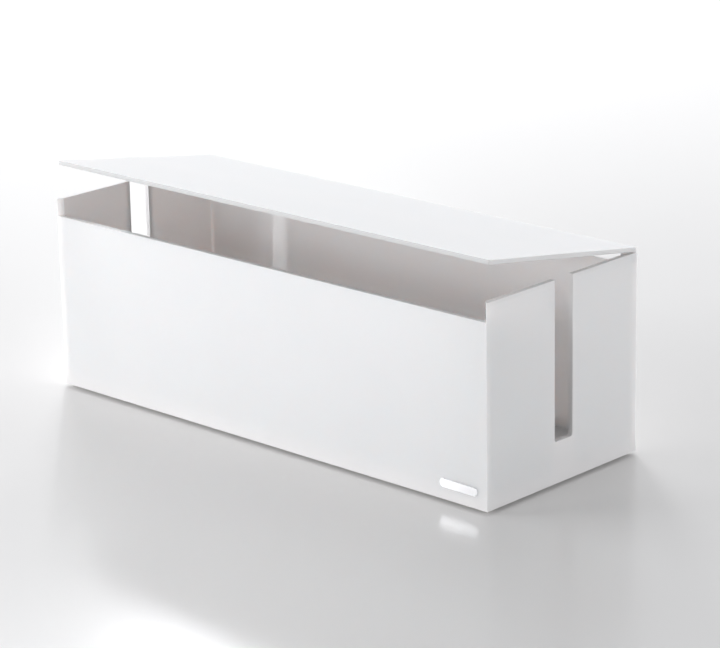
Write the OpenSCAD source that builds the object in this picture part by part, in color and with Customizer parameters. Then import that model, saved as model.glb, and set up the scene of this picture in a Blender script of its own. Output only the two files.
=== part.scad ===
// Desk-side cable tray: an open-topped moulded box that hides a power strip,
// with a full-size lid hinged along the top of the rear wall and shown part open.
// Millimetres. The origin is the centre of the footprint, on the surface that the
// feet stand on. +X runs along the length, +Z is up, and the low front wall faces -Y.

/* [Body] */
// Overall length
body_length = 400; // [300:5:500]
// Overall depth, front face to rear face
body_depth = 150; // [120:1:200]
// Height of the end walls
end_wall_height = 137; // [100:1:180]
// How far the front wall stops short of the end walls' top
front_wall_drop = 12.5; // [6:0.5:40]
// How far the rear wall stops short of the end walls' top
rear_wall_drop = 8; // [8:0.5:20]
// Thickness of the walls and the floor
wall = 3.6; // [3.4:0.1:5]
// How far back the end walls' front edges are bevelled inwards, above the front wall
front_bevel = 3.6; // [1:0.1:4]
// Radius of the corners inside the box
inner_radius = 2; // [1:0.5:5]
// Radius of the end walls' two upper corners, which lets the lid turn past the rear one
shoulder_radius = 1.5; // [1.5:0.1:3]

/* [Cord slots] */
// Width of the open-topped slot in each end wall
slot_width = 18; // [8:1:30]
// Height of the bottom of the slot above the underside of the body
slot_sill = 28.5; // [12:0.5:60]
// Radius of the two bottom corners of the slot
slot_radius = 2; // [0.5:0.5:4]

/* [Lid] */
// Thickness of the lid
lid_thickness = 3; // [2.5:0.1:5]
// Gap between the closed lid and the end walls
lid_gap = 0.6; // [0.4:0.1:1.2]
// How far the lid's rear edge stays inside the rear face
lid_rear_inset = 1.4; // [1:0.1:2]
// Angle by which the lid stands open, in degrees
lid_open = 9.2; // [0:0.1:88]
// Radius of the lid's corners, seen from above
lid_corner_radius = 1.2; // [0.5:0.1:4]
// Radius of the rest buttons under the lid's front corners
rest_button_radius = 1.2; // [0.8:0.1:1.6]

/* [Hinge] */
// Radius of the hinge pins
pin_radius = 1.1; // [0.9:0.1:1.3]
// Radial clearance of a pin in the end wall
pin_clearance = 0.05; // [0.03:0.01:0.1]
// Distance from the rear face to the hinge axis
axis_from_rear = 2.9; // [2.7:0.1:3.4]
// Depth of the hinge axis below the end walls' top
axis_below_top = 5; // [4:0.1:5.2]
// Outer radius of the lugs around the pins
lug_radius = 2.6; // [2.3:0.1:2.7]
// Length of each lug along the hinge axis
lug_length = 6; // [4:0.5:12]
// How far the heel reaches behind the axis, to stop the open lid on the rear wall
heel_reach = 2.4; // [2:0.1:2.5]
// Height of the heel above the axis when the lid is closed
heel_height = 3; // [2:0.1:3.4]
// Gap between a lug and the end wall beside it
lug_gap = 0.3; // [0.2:0.1:0.6]
// Depth of the blind hole for the pin in each end wall
bore_depth = 2.6; // [2:0.1:2.8]

/* [Feet] */
// Radius of the rubber feet
foot_radius = 7; // [4:0.5:12]
// How far the feet hold the body off the surface
foot_standoff = 1.8; // [1:0.1:4]
// Depth of the round recess that each foot is stuck into
foot_recess = 0.8; // [0.5:0.1:1.5]
// Distance from the body's sides to a foot's centre
foot_inset = 20; // [14:1:40]

/* [Badge] */
// Length of the plain plate at the lower right of the front wall
badge_length = 32; // [16:1:60]
// Height of the plate
badge_height = 6; // [4:0.5:14]
// Thickness of the plate, half of it sunk into the wall
badge_thickness = 0.6; // [0.4:0.1:1.6]
// Distance from the right end to the plate's centre
badge_from_end = 24; // [20:1:120]
// Height of the plate's centre above the underside of the body
badge_centre_height = 11; // [8:1:60]

/* [Hidden] */
$fn = 64;

// Overshoot of a cut past the face that it opens
cut = 1;
// Radial slack that keeps a glued or pressed piece clear of its seat
seat_slack = 0.02;
left = -1;
right = 1;
front = -1;
rear = 1;
white_plastic = [0.95, 0.95, 0.96];
lid_plastic = [0.97, 0.97, 0.98];
foot_rubber = [0.35, 0.35, 0.36];
pin_steel = [0.72, 0.73, 0.75];
badge_chrome = [0.85, 0.86, 0.88];

half_length = body_length / 2;
half_depth = body_depth / 2;
body_top = foot_standoff + end_wall_height;
front_top = body_top - front_wall_drop;
rear_top = body_top - rear_wall_drop;
floor_top = foot_standoff + wall;
inner_length = body_length - 2 * wall;
inner_depth = body_depth - 2 * wall;
axis_y = half_depth - axis_from_rear;
axis_z = body_top - axis_below_top;
// Closed lid, measured from the hinge axis
lid_rear = axis_from_rear - lid_rear_inset;
lid_front = -half_depth - axis_y;
lid_under = axis_below_top + lid_gap;
lug_outer = half_length - wall - lug_gap;
lug_inner = lug_outer - lug_length;
pin_inner = lug_inner + 0.5;
pin_outer = half_length - wall + bore_depth - 0.2;
foot_x = half_length - foot_inset;
foot_y = half_depth - foot_inset;
badge_x = half_length - badge_from_end;
badge_z = foot_standoff + badge_centre_height;
rest_button_x = half_length - wall / 2;

// What is cut off an end wall's front edge, above the front wall, to bevel it inwards
module edge_bevel(side) {
    x_outer = side * half_length;
    run = side * wall / front_bevel;
    translate([0, 0, front_top])
        linear_extrude(height = front_wall_drop + cut)
            polygon([
                [x_outer + run * cut, -half_depth - cut],
                [x_outer - run * (front_bevel + cut), -half_depth + front_bevel + cut],
                [x_outer - run * (front_bevel + cut), -half_depth - cut]
            ]);
}

// Upright block with rounded vertical corners, standing on z = 0
module rounded_block(length, depth, height, radius) {
    translate([-length / 2 + radius, -depth / 2, 0])
        cube([length - 2 * radius, depth, height]);
    translate([-length / 2, -depth / 2 + radius, 0])
        cube([length, depth - 2 * radius, height]);
    for (x = [-1, 1], y = [-1, 1])
        translate([x * (length / 2 - radius), y * (depth / 2 - radius), 0])
            cylinder(r = radius, h = height);
}

// Everything above a height, between two depths, over the full length
module trim(y_from, y_to, z_from, length) {
    translate([-length / 2, y_from, z_from])
        cube([length, y_to - y_from, body_top - z_from + cut]);
}

// What is cut off to round the end walls' upper corners at the front or the rear
module shoulder(row, y_face) {
    y_centre = y_face - row * shoulder_radius;
    block = shoulder_radius + cut;
    translate([0, y_centre, body_top - shoulder_radius])
        difference() {
            translate([-half_length - cut, row > 0 ? 0 : -block, 0])
                cube([body_length + 2 * cut, block, block]);
            rotate([0, 90, 0])
                cylinder(r = shoulder_radius, h = body_length + 4 * cut, center = true);
        }
}

// Open-topped slot through one end wall, with two rounded bottom corners
module cord_slot(side) {
    depth_of_cut = wall + 2 * cut;
    x = side * (half_length - wall / 2);
    z = foot_standoff + slot_sill;
    translate([x - depth_of_cut / 2, -slot_width / 2, z + slot_radius])
        cube([depth_of_cut, slot_width, end_wall_height]);
    translate([x - depth_of_cut / 2, -slot_width / 2 + slot_radius, z])
        cube([depth_of_cut, slot_width - 2 * slot_radius, 2 * slot_radius]);
    for (y = [-1, 1])
        translate([x, y * (slot_width / 2 - slot_radius), z + slot_radius])
            rotate([0, 90, 0])
                cylinder(r = slot_radius, h = depth_of_cut, center = true);
}

// Blind hole for a hinge pin, opening on the inside of one end wall
module hinge_bore(side) {
    mouth = half_length - wall - cut;
    translate([0, axis_y, axis_z])
        rotate([0, side * 90, 0])
            translate([0, 0, mouth])
                cylinder(r = pin_radius + pin_clearance, h = bore_depth + cut);
}

// Round recess for one foot in the underside
module foot_seat(side, row) {
    translate([side * foot_x, row * foot_y, foot_standoff - cut])
        cylinder(r = foot_radius + seat_slack, h = foot_recess + cut);
}

// Flat plate with round ends, its face towards the front
module pill(length, height, thickness) {
    radius = height / 2;
    rotate([90, 0, 0]) {
        translate([-length / 2 + radius, -radius, -thickness / 2])
            cube([length - height, height, thickness]);
        for (x = [-1, 1])
            translate([x * (length / 2 - radius), 0, -thickness / 2])
                cylinder(r = radius, h = thickness);
    }
}

module body() {
    color(white_plastic)
    difference() {
        translate([-half_length, -half_depth, foot_standoff])
            cube([body_length, body_depth, end_wall_height]);
        translate([0, 0, floor_top])
            rounded_block(inner_length, inner_depth, end_wall_height, inner_radius);
        trim(-half_depth - cut, -half_depth + wall + inner_radius, front_top, inner_length);
        trim(half_depth - wall - inner_radius, half_depth + cut, rear_top, inner_length);
        shoulder(front, -half_depth);
        shoulder(rear, half_depth);
        for (side = [left, right]) {
            edge_bevel(side);
            cord_slot(side);
            hinge_bore(side);
            for (row = [front, rear]) foot_seat(side, row);
        }
        translate([badge_x, -half_depth, badge_z])
            pill(badge_length + 2 * seat_slack, badge_height + 2 * seat_slack, badge_thickness);
    }
}

// Part of a lug: a block between two depths, from the axis up to a height
module lug_block(side, y_from, y_to, height) {
    translate([side > 0 ? -height : 0, y_from, 0])
        cube([height, y_to - y_from, lug_length]);
}

// One lug under the lid: an arm with a round eye about the axis, and a heel behind it
module lug(side) {
    rotate([0, side * 90, 0])
        translate([0, 0, lug_inner]) {
            cylinder(r = lug_radius, h = lug_length);
            lug_block(side, -lug_radius, lid_rear, lid_under + cut / 2);
            lug_block(side, 0, heel_reach, heel_height);
        }
}

// Closed lid, drawn about the hinge axis
module lid_at_axis() {
    depth = lid_rear - lid_front;
    difference() {
        union() {
            translate([0, (lid_rear + lid_front) / 2, lid_under])
                rounded_block(body_length, depth, lid_thickness, lid_corner_radius);
            for (side = [left, right]) {
                lug(side);
                translate([side * rest_button_x, lid_front + front_bevel + wall, lid_under])
                    scale([1, 1, 0.4])
                        sphere(r = rest_button_radius);
            }
        }
        for (side = [left, right])
            rotate([0, side * 90, 0])
                translate([0, 0, pin_inner])
                    cylinder(r = pin_radius + seat_slack, h = lug_length + cut);
    }
}

module lid() {
    color(lid_plastic)
        translate([0, axis_y, axis_z])
            rotate([-lid_open, 0, 0])
                lid_at_axis();
}

// Steel pin, pressed into a lug and turning in the end wall
module hinge_pin(side) {
    color(pin_steel)
        translate([0, axis_y, axis_z])
            rotate([0, side * 90, 0])
                translate([0, 0, pin_inner])
                    cylinder(r = pin_radius, h = pin_outer - pin_inner);
}

// Rubber disc with a rounded lower edge, stuck into its recess
module foot(side, row) {
    edge = 0.6;
    height = foot_standoff + foot_recess;
    color(foot_rubber)
        translate([side * foot_x, row * foot_y, 0])
            rotate_extrude()
                union() {
                    square([foot_radius - edge, height]);
                    translate([0, edge])
                        square([foot_radius, height - edge]);
                    translate([foot_radius - edge, edge])
                        circle(r = edge);
                }
}

module badge() {
    color(badge_chrome)
        translate([badge_x, -half_depth, badge_z])
            pill(badge_length, badge_height, badge_thickness);
}

body();
lid();
hinge_pin(left);  // hinge_pin_left
hinge_pin(right);  // hinge_pin_right
foot(left, front);  // foot_front_left
foot(right, front);  // foot_front_right
foot(left, rear);  // foot_rear_left
foot(right, rear);  // foot_rear_right
badge();
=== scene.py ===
import math

import bpy
from mathutils import Matrix, Vector


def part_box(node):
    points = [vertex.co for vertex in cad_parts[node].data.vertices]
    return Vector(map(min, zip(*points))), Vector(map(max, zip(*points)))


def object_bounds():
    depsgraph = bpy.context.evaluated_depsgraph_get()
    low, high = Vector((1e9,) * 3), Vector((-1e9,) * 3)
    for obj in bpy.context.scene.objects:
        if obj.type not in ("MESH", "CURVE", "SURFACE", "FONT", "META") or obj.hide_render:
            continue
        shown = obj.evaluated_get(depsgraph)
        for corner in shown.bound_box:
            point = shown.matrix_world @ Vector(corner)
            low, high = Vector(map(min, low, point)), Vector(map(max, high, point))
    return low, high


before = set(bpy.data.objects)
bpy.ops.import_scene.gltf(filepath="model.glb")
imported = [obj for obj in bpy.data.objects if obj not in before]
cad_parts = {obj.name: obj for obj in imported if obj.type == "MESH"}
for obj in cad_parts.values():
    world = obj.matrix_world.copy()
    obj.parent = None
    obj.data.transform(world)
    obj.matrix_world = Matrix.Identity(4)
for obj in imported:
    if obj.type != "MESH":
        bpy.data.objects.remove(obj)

CAD_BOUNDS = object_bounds()
MM = 0.001

# Camera, measured round the middle of the body, in degrees, metres and millimetres of lens
CAMERA_AZIMUTH = 43.61
CAMERA_ELEVATION = 17.22
CAMERA_ROLL = -1.14
CAMERA_DISTANCE = 1.9826
CAMERA_LENS = 144.9
AIM_RIGHT = 15.5 * MM
AIM_UP = -2.2 * MM

# Rounding of the edges
BODY_EDGE = 0.45 * MM
LID_EDGE = 1.3 * MM
PIN_EDGE = 0.15 * MM
FOOT_EDGE = 0.2 * MM
BADGE_EDGE = 0.2 * MM
EDGE_SEGMENTS = 3
SHARP_ANGLE = math.radians(35)
FLAT_ANGLE = math.radians(0.5)
WELD_DISTANCE = 0.002 * MM

# How much light the white plastic lets through, how deep and in what tint it spreads, and the
# distances over which it sets in: off the slots' middle plane, and up from what the box stands on.
# It is switched off in the slots and at the bottom as painted shade, to darken the slots' cut faces and
# the box's bottom edge and the gap under it
TRANSLUCENCY = 0.6
GLOW_DEPTH = 9.5 * MM
GLOW_TINT = (1.0, 0.84, 0.78)
SLOT_CLEAR_FROM = 9.5 * MM
SLOT_CLEAR_TO = 13.5 * MM
FLOOR_CLEAR_FROM = 5.0 * MM
FLOOR_CLEAR_TO = 15.0 * MM

# The range that Blender's noise usually covers
NOISE_LOW = 0.3
NOISE_HIGH = 0.7

# Dark and light end of each finish's colour
BODY_WHITE = ((0.89, 0.875, 0.87), (0.91, 0.895, 0.89))
LID_WHITE = ((0.835, 0.824, 0.816), (0.855, 0.844, 0.836))
GREY_RUBBER = ((0.24, 0.24, 0.24), (0.34, 0.34, 0.34))
STEEL = ((0.50, 0.50, 0.52), (0.66, 0.66, 0.68))
PLATED = ((0.86, 0.86, 0.88), (0.93, 0.93, 0.94))
PALE_FLOOR = ((0.85, 0.84, 0.825), (0.87, 0.86, 0.845))
BODY_ROUGHNESS = 0.05
LID_ROUGHNESS = 0.08
ROUGHNESS_SPREAD = 1.25

FLOOR_SIZE = 5.2

# The world's light on the object, and its look where the camera sees past the floor
WORLD_COLOUR = (0.93, 0.96, 1.0)
WORLD_STRENGTH = 0.15
BACKDROP_COLOUR = (0.99, 0.99, 1.0)
BACKDROP_STRENGTH = 0.95

# name: (azimuth, elevation, distance, width, height, watts), all facing the middle of the body;
# the azimuth is the camera's kind, so 0 is in front of the low wall and 90 at the right end
LIGHTS = {
    "back_wall": (223.6, 17.9, 3.68, 9.0, 2.4, 72.5),
    "left_wall": (298.0, 15.7, 2.70, 2.4, 1.4, 47.0),
    "right_back_wall": (150.0, 13.7, 3.09, 3.0, 1.6, 31.0),
    "right_wall": (100.0, 14.0, 2.70, 2.4, 1.4, 18.0),
    "key": (227.0, 23.0, 2.20, 0.4, 0.4, 8.4),
    "back_softbox": (235.0, 36.0, 2.20, 0.8, 0.8, 6.0),
    "back_high": (215.0, 58.0, 2.60, 1.2, 1.2, 8.5),
    "front_left_spot": (316.0, 12.5, 3.50, 0.7, 0.7, 9.5),
    "front_softbox": (0.0, 12.0, 2.20, 1.2, 0.6, 13.0),
}
LIGHT_COLOUR = (0.975, 0.98, 1.0)


def middle_of(node):
    low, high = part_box(node)
    return (low + high) / 2


# ---------------------------------------------------------------- materials

class Nodes:
    """A material's node tree, with short calls to add and join nodes."""

    def __init__(self, name):
        self.material = bpy.data.materials.new(name)
        self.material.use_nodes = True
        self.tree = self.material.node_tree
        self.shader = self.tree.nodes["Principled BSDF"]

    def add(self, kind, **settings):
        """A new node; a setting is the name of an input, or else of the node's own property."""
        node = self.tree.nodes.new(kind)
        for key, value in settings.items():
            if key in node.inputs:
                node.inputs[key].default_value = value
            else:
                setattr(node, key, value)
        return node

    def join(self, start, end):
        self.tree.links.new(start, end)

    def place(self, stretch=(1.0, 1.0, 1.0)):
        """The point on the object, in metres, stretched along the axes."""
        where = self.add("ShaderNodeTexCoord")
        mapping = self.add("ShaderNodeMapping", Scale=stretch)
        self.join(where.outputs["Object"], mapping.inputs["Vector"])
        return mapping.outputs["Vector"]

    def noise(self, scale, detail=2.0, stretch=(1.0, 1.0, 1.0)):
        noise = self.add("ShaderNodeTexNoise", Scale=scale, Detail=detail)
        self.join(self.place(stretch), noise.inputs["Vector"])
        return noise.outputs["Fac"]

    def remap(self, number, start, end, low, high):
        """A number that runs from low to high as the given one runs from start to end."""
        ends = {"From Min": start, "From Max": end, "To Min": low, "To Max": high}
        spread = self.add("ShaderNodeMapRange", **ends)
        self.join(number, spread.inputs["Value"])
        return spread.outputs["Result"]

    def between(self, noise, low, high):
        """A number that runs from low to high over the noise's usual range."""
        return self.remap(noise, NOISE_LOW, NOISE_HIGH, low, high)

    def blend(self, noise, dark, light):
        mix = self.add("ShaderNodeMix", data_type="RGBA")
        mix.inputs["A"].default_value = (*dark, 1.0)
        mix.inputs["B"].default_value = (*light, 1.0)
        self.join(self.between(noise, 0.0, 1.0), mix.inputs["Factor"])
        return mix.outputs["Result"]

    def calculate(self, operation, *numbers):
        node = self.add("ShaderNodeMath", operation=operation)
        for number, socket in zip(numbers, node.inputs):
            self.join(number, socket)
        return node.outputs["Value"]

    def translucency(self):
        """None near the middle plane, where the cord slots are, or at the very bottom; full elsewhere.
        Leaving it out there is painted shade, for the dark slot cut faces and the dark gap under the
        box.

        The lid has it too, so a faint band runs along the lid's middle.
        """
        where = self.add("ShaderNodeSeparateXYZ")
        self.join(self.place(), where.inputs["Vector"])
        off_middle = self.calculate("ABSOLUTE", where.outputs["Y"])
        # painted shade: no translucency in the slots, so their cut faces go dark
        beside_slot = self.remap(off_middle, SLOT_CLEAR_FROM, SLOT_CLEAR_TO, 0.0, 1.0)
        # painted shade: no translucency at the bottom, so the box's bottom edge and the gap under it go
        # dark
        above_floor = self.remap(where.outputs["Z"], FLOOR_CLEAR_FROM, FLOOR_CLEAR_TO, 0.0, TRANSLUCENCY)
        return self.calculate("MULTIPLY", beside_slot, above_floor)

    def bump(self, height, strength, depth, under=None):
        """Bumps of a strength and a depth, on top of the bumps under them."""
        bump = self.add("ShaderNodeBump", Strength=strength, Distance=depth)
        self.join(height, bump.inputs["Height"])
        if under is not None:
            self.join(under, bump.inputs["Normal"])
        return bump.outputs["Normal"]

    def set(self, **values):
        """Sets the shader's inputs, each to a constant or to another node's output."""
        for key, value in values.items():
            socket = self.shader.inputs[key.replace("_", " ")]
            if hasattr(value, "links"):
                self.join(value, socket)
            else:
                socket.default_value = value


def gloss_plastic(name, dark, light, roughness):
    """High-gloss moulded plastic: a faint slow waviness, a fine polish grain and a soft colour drift.

    Light passes through the thin walls and warms the inside, save in the slots and at the bottom, where
    it is left out as painted shade.
    """
    n = Nodes(name)
    waves = n.bump(n.noise(scale=9.0, detail=1.0), strength=0.06, depth=0.6 * MM)
    grain = n.bump(n.noise(scale=1400.0), strength=0.05, depth=0.02 * MM, under=waves)
    patches = n.noise(scale=14.0, detail=4.0)
    n.set(
        Base_Color=n.blend(n.noise(scale=5.0, detail=3.0), dark, light),
        Roughness=n.between(patches, roughness / ROUGHNESS_SPREAD, roughness * ROUGHNESS_SPREAD),
        Normal=grain,
        IOR=1.54,
        # translucency, left out in the slots and at the bottom as painted shade
        Subsurface_Weight=n.translucency(),
        Subsurface_Radius=GLOW_TINT,
        Subsurface_Scale=GLOW_DEPTH,
    )
    return n.material


def rubber(name, dark, light):
    n = Nodes(name)
    speckle = n.noise(scale=1800.0, detail=3.0)
    n.set(
        Base_Color=n.blend(speckle, dark, light),
        Roughness=n.between(n.noise(scale=300.0, detail=3.0), low=0.62, high=0.85),
        Normal=n.bump(speckle, strength=0.4, depth=0.05 * MM),
    )
    return n.material


def drawn_steel(name, dark, light):
    """Bright wire with drawing lines along X, the pins' length."""
    n = Nodes(name)
    lines = n.noise(scale=900.0, detail=3.0, stretch=(0.04, 1.0, 1.0))
    n.set(
        Base_Color=n.blend(lines, dark, light),
        Metallic=1.0,
        Roughness=n.between(lines, low=0.22, high=0.4),
        Normal=n.bump(lines, strength=0.15, depth=0.02 * MM),
    )
    return n.material


def chrome(name, dark, light):
    n = Nodes(name)
    n.set(
        Base_Color=n.blend(n.noise(scale=60.0), dark, light),
        Metallic=1.0,
        Roughness=n.between(n.noise(scale=220.0, detail=3.0), low=0.06, high=0.14),
        Normal=n.bump(n.noise(scale=500.0), strength=0.06, depth=0.03 * MM),
    )
    return n.material


def floor_finish(name, dark, light):
    n = Nodes(name)
    n.set(
        Base_Color=n.blend(n.noise(scale=0.8), dark, light),
        Roughness=n.between(n.noise(scale=2.0), low=0.19, high=0.22),
        IOR=1.45,
    )
    return n.material


def dress(node, material):
    """Gives a CAD node its material."""
    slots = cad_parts[node].data.materials
    slots.clear()
    slots.append(material)


# ---------------------------------------------------------------- edges

def round_edges(node, width):
    """Rounds a CAD node's sharp edges: flat faces are merged first, so that the rounding runs clean."""
    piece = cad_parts[node]
    weld = piece.modifiers.new("weld", "WELD")
    weld.merge_threshold = WELD_DISTANCE
    flat = piece.modifiers.new("flat", "DECIMATE")
    flat.decimate_type = "DISSOLVE"
    flat.angle_limit = FLAT_ANGLE
    bevel = piece.modifiers.new("bevel", "BEVEL")
    bevel.width = width
    bevel.segments = EDGE_SEGMENTS
    bevel.limit_method = "ANGLE"
    bevel.angle_limit = SHARP_ANGLE
    piece.modifiers.new("normals", "WEIGHTED_NORMAL").keep_sharp = True
    for face in piece.data.polygons:
        face.use_smooth = True


# ---------------------------------------------------------------- stage

def facing(direction, roll=0.0):
    """Rotation that looks along a direction with Z up, turned about it by roll degrees."""
    turn = direction.to_track_quat("-Z", "Y").to_matrix().to_4x4()
    return turn @ Matrix.Rotation(math.radians(roll), 4, "Z")


def towards(azimuth, elevation):
    """Unit vector from the object towards that azimuth and elevation, in degrees."""
    turn, rise = math.radians(azimuth), math.radians(elevation)
    return Vector((
        math.sin(turn) * math.cos(rise),
        -math.cos(turn) * math.cos(rise),
        math.sin(rise),
    ))


def add_camera():
    back = towards(CAMERA_AZIMUTH, CAMERA_ELEVATION)
    turn = facing(-back, CAMERA_ROLL)
    aim = middle_of("body") + turn.to_3x3() @ Vector((AIM_RIGHT, AIM_UP, 0.0))
    data = bpy.data.cameras.new("camera")
    data.lens = CAMERA_LENS
    camera = bpy.data.objects.new("camera", data)
    camera.matrix_world = Matrix.Translation(aim + back * CAMERA_DISTANCE) @ turn
    bpy.context.scene.collection.objects.link(camera)
    bpy.context.scene.camera = camera


def add_light(name, azimuth, elevation, distance, width, height, watts):
    """A rectangular softbox that faces the middle of the body and that the camera doesn't see."""
    away = towards(azimuth, elevation)
    place = middle_of("body") + away * distance
    data = bpy.data.lights.new(name, "AREA")
    data.shape = "RECTANGLE"
    data.size = width
    data.size_y = height
    data.energy = watts
    data.color = LIGHT_COLOUR
    light = bpy.data.objects.new(name, data)
    light.matrix_world = Matrix.Translation(place) @ facing(-away)
    light.visible_camera = False
    bpy.context.scene.collection.objects.link(light)


def add_world():
    """A dim surround that lights the object, and a bright one where the camera looks straight at it."""
    world = bpy.data.worlds.new("studio")
    world.use_nodes = True
    nodes = world.node_tree.nodes
    join = world.node_tree.links.new
    seen = nodes.new("ShaderNodeLightPath")
    mix = nodes.new("ShaderNodeMixShader")
    surround = nodes["Background"]
    backdrop = nodes.new("ShaderNodeBackground")
    looks = (
        (surround, WORLD_COLOUR, WORLD_STRENGTH),
        (backdrop, BACKDROP_COLOUR, BACKDROP_STRENGTH),
    )
    for node, colour, strength in looks:
        node.inputs["Color"].default_value = (*colour, 1.0)
        node.inputs["Strength"].default_value = strength
    join(seen.outputs["Is Camera Ray"], mix.inputs[0])
    join(surround.outputs["Background"], mix.inputs[1])
    join(backdrop.outputs["Background"], mix.inputs[2])
    join(mix.outputs["Shader"], nodes["World Output"].inputs["Surface"])
    bpy.context.scene.world = world


def add_floor():
    half = FLOOR_SIZE / 2
    corners = [(-half, -half, 0), (half, -half, 0), (half, half, 0), (-half, half, 0)]
    mesh = bpy.data.meshes.new("floor")
    mesh.from_pydata(corners, [], [(0, 1, 2, 3)])
    mesh.materials.append(floor_finish("floor", *PALE_FLOOR))
    floor = bpy.data.objects.new("floor", mesh)
    floor.location.z = CAD_BOUNDS[0].z
    bpy.context.scene.collection.objects.link(floor)


def build():
    bpy.context.scene.view_settings.view_transform = "Standard"
    add_camera()
    add_world()
    add_floor()
    for name, light in LIGHTS.items():
        add_light(name, *light)

    # start of the node's name: (material, rounding of its edges)
    finishes = {
        "body": (gloss_plastic("body_plastic", *BODY_WHITE, BODY_ROUGHNESS), BODY_EDGE),
        "lid": (gloss_plastic("lid_plastic", *LID_WHITE, LID_ROUGHNESS), LID_EDGE),
        "hinge_pin": (drawn_steel("pin_steel", *STEEL), PIN_EDGE),
        "foot": (rubber("foot_rubber", *GREY_RUBBER), FOOT_EDGE),
        "badge": (chrome("badge_chrome", *PLATED), BADGE_EDGE),
    }
    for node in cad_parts:
        kind = next(start for start in finishes if node.startswith(start))
        material, edge = finishes[kind]
        dress(node, material)
        round_edges(node, edge)


build()
